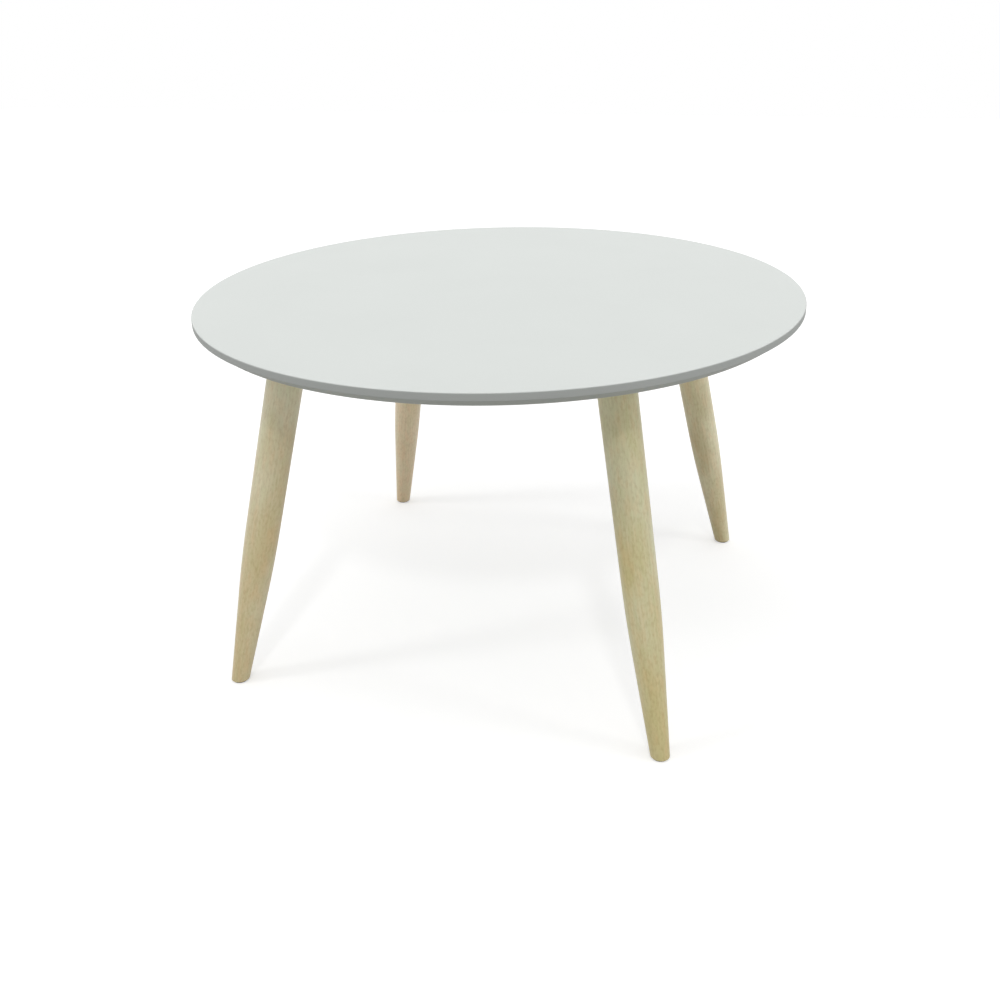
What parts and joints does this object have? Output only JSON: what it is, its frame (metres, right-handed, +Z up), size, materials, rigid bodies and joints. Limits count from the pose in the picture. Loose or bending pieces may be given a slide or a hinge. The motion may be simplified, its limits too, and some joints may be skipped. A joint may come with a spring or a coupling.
{
  "type": "round side table",
  "caption": "Round side table: a painted board top with an under-bevelled edge on splayed, tapered turned-wood legs bolted to angled steel plates.",
  "frame": {"origin": "on the floor, under the middle of the board", "axes": "+Z up; the legs stand on the diagonals between X and Y; +X to the right and -Y to the front"},
  "size_m": [0.75, 0.75, 0.46],
  "materials": {
    "top_paint": "satin light grey paint on fibreboard",
    "leg_wood": "pale turned hardwood, matt clear lacquer",
    "pad_felt": "dark pressed felt",
    "plate_steel": "zinc-plated pressed steel",
    "fastener_steel": "bright zinc plate"
  },
  "bodies": {
    "root": {"table_top": "top_paint", "leg_front_left": "leg_wood", "leg_front_right": "leg_wood", "leg_rear_left": "leg_wood", "leg_rear_right": "leg_wood", "foot_pad_front_left": "pad_felt", "foot_pad_front_right": "pad_felt", "foot_pad_rear_left": "pad_felt", "foot_pad_rear_right": "pad_felt", "mounting_plate_front_left": "plate_steel", "mounting_plate_front_right": "plate_steel", "mounting_plate_rear_left": "plate_steel", "mounting_plate_rear_right": "plate_steel", "plate_nut_front_left": "fastener_steel", "plate_nut_front_right": "fastener_steel", "plate_nut_rear_left": "fastener_steel", "plate_nut_rear_right": "fastener_steel", "hanger_bolt_front_left": "fastener_steel", "hanger_bolt_front_right": "fastener_steel", "hanger_bolt_rear_left": "fastener_steel", "hanger_bolt_rear_right": "fastener_steel", "plate_screw_front_left_1": "fastener_steel", "plate_screw_front_left_2": "fastener_steel", "plate_screw_front_left_3": "fastener_steel", "plate_screw_front_left_4": "fastener_steel", "plate_screw_front_right_1": "fastener_steel", "plate_screw_front_right_2": "fastener_steel", "plate_screw_front_right_3": "fastener_steel", "plate_screw_front_right_4": "fastener_steel", "plate_screw_rear_left_1": "fastener_steel", "plate_screw_rear_left_2": "fastener_steel", "plate_screw_rear_left_3": "fastener_steel", "plate_screw_rear_left_4": "fastener_steel", "plate_screw_rear_right_1": "fastener_steel", "plate_screw_rear_right_2": "fastener_steel", "plate_screw_rear_right_3": "fastener_steel", "plate_screw_rear_right_4": "fastener_steel"}
  },
  "joints": []
}
